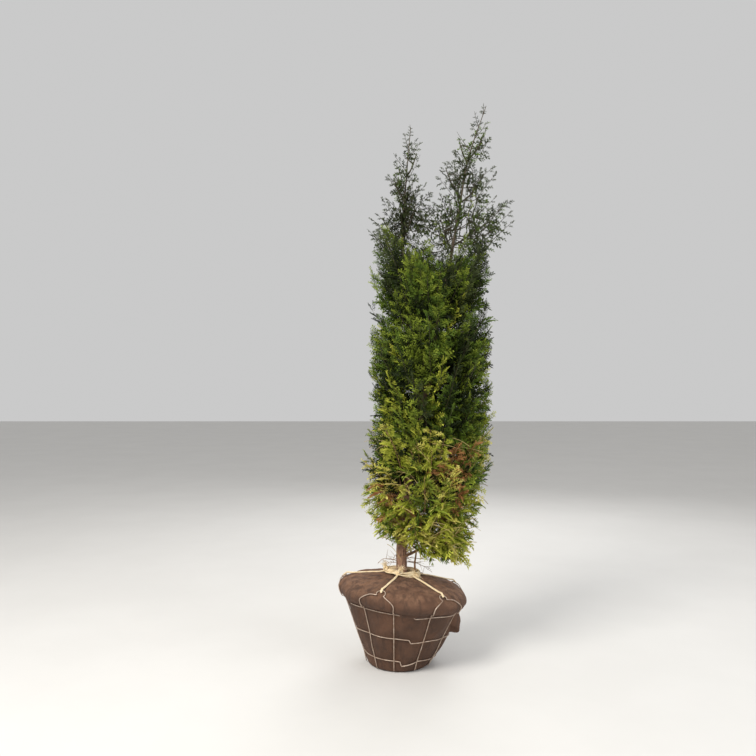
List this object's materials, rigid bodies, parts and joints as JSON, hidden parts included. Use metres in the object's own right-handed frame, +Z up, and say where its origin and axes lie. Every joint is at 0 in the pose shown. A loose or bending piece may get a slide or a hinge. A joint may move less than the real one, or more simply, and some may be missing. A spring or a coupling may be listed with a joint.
{
  "type": "thuja on a burlapped root ball",
  "caption": "Tall column-shaped thuja with a forked top and flat leaf sprays, standing on a burlap-wrapped root ball held in a wire basket and lashed with twine.",
  "frame": {"origin": "centre of the flat underside of the root ball, on the ground", "axes": "+Z up, +X to the right and -Y towards the viewer as in the picture"},
  "size_m": [0.8295, 0.6107, 2.6494],
  "materials": {
    "bark": "thin fibrous reddish-brown bark, dry and dull",
    "foliage": "flat sprays of scale leaves, olive green with yellow-green tips",
    "burlap": "coarse brown jute cloth over soil, dull and dusty",
    "basket_wire": "thin pale galvanised wire",
    "twine": "cream sisal twine with a hairy surface"
  },
  "bodies": {
    "root": {"basal_shoot": "bark", "bough_lower_1": "bark", "bough_lower_2": "bark", "bough_lower_3": "bark", "bough_lower_4": "bark", "bough_lower_5": "bark", "bough_middle_1": "bark", "bough_middle_2": "bark", "bough_middle_3": "bark", "bough_middle_4": "bark", "bough_middle_5": "bark", "bough_skirt_1": "bark", "bough_skirt_2": "bark", "bough_skirt_3": "bark", "bough_skirt_4": "bark", "bough_skirt_5": "bark", "bough_upper_1": "bark", "bough_upper_2": "bark", "bough_upper_3": "bark", "bough_upper_4": "bark", "foliage_crest_back": "foliage", "foliage_crest_front": "foliage", "foliage_crest_left": "foliage", "foliage_crest_right_back": "foliage", "foliage_crest_right_front": "foliage", "foliage_lower_1": "foliage", "foliage_lower_2": "foliage", "foliage_lower_3": "foliage", "foliage_lower_4": "foliage", "foliage_lower_5": "foliage", "foliage_middle_1": "foliage", "foliage_middle_2": "foliage", "foliage_middle_3": "foliage", "foliage_middle_4": "foliage", "foliage_middle_5": "foliage", "foliage_second_front": "foliage", "foliage_second_high": "foliage", "foliage_second_left": "foliage", "foliage_second_tip": "foliage", "foliage_skirt_1": "foliage", "foliage_skirt_2": "foliage", "foliage_skirt_3": "foliage", "foliage_skirt_4": "foliage", "foliage_skirt_5": "foliage", "foliage_spire_back": "foliage", "foliage_spire_front": "foliage", "foliage_spire_left_high": "foliage", "foliage_spire_left_mid": "foliage", "foliage_spire_right": "foliage", "foliage_spire_right_high": "foliage", "foliage_spire_right_mid": "foliage", "foliage_upper_1": "foliage", "foliage_upper_2": "foliage", "foliage_upper_3": "foliage", "foliage_upper_4": "foliage", "root_ball": "burlap", "second_leader": "bark", "trunk": "bark", "twine": "twine", "wire_basket": "basket_wire"}
  },
  "joints": []
}
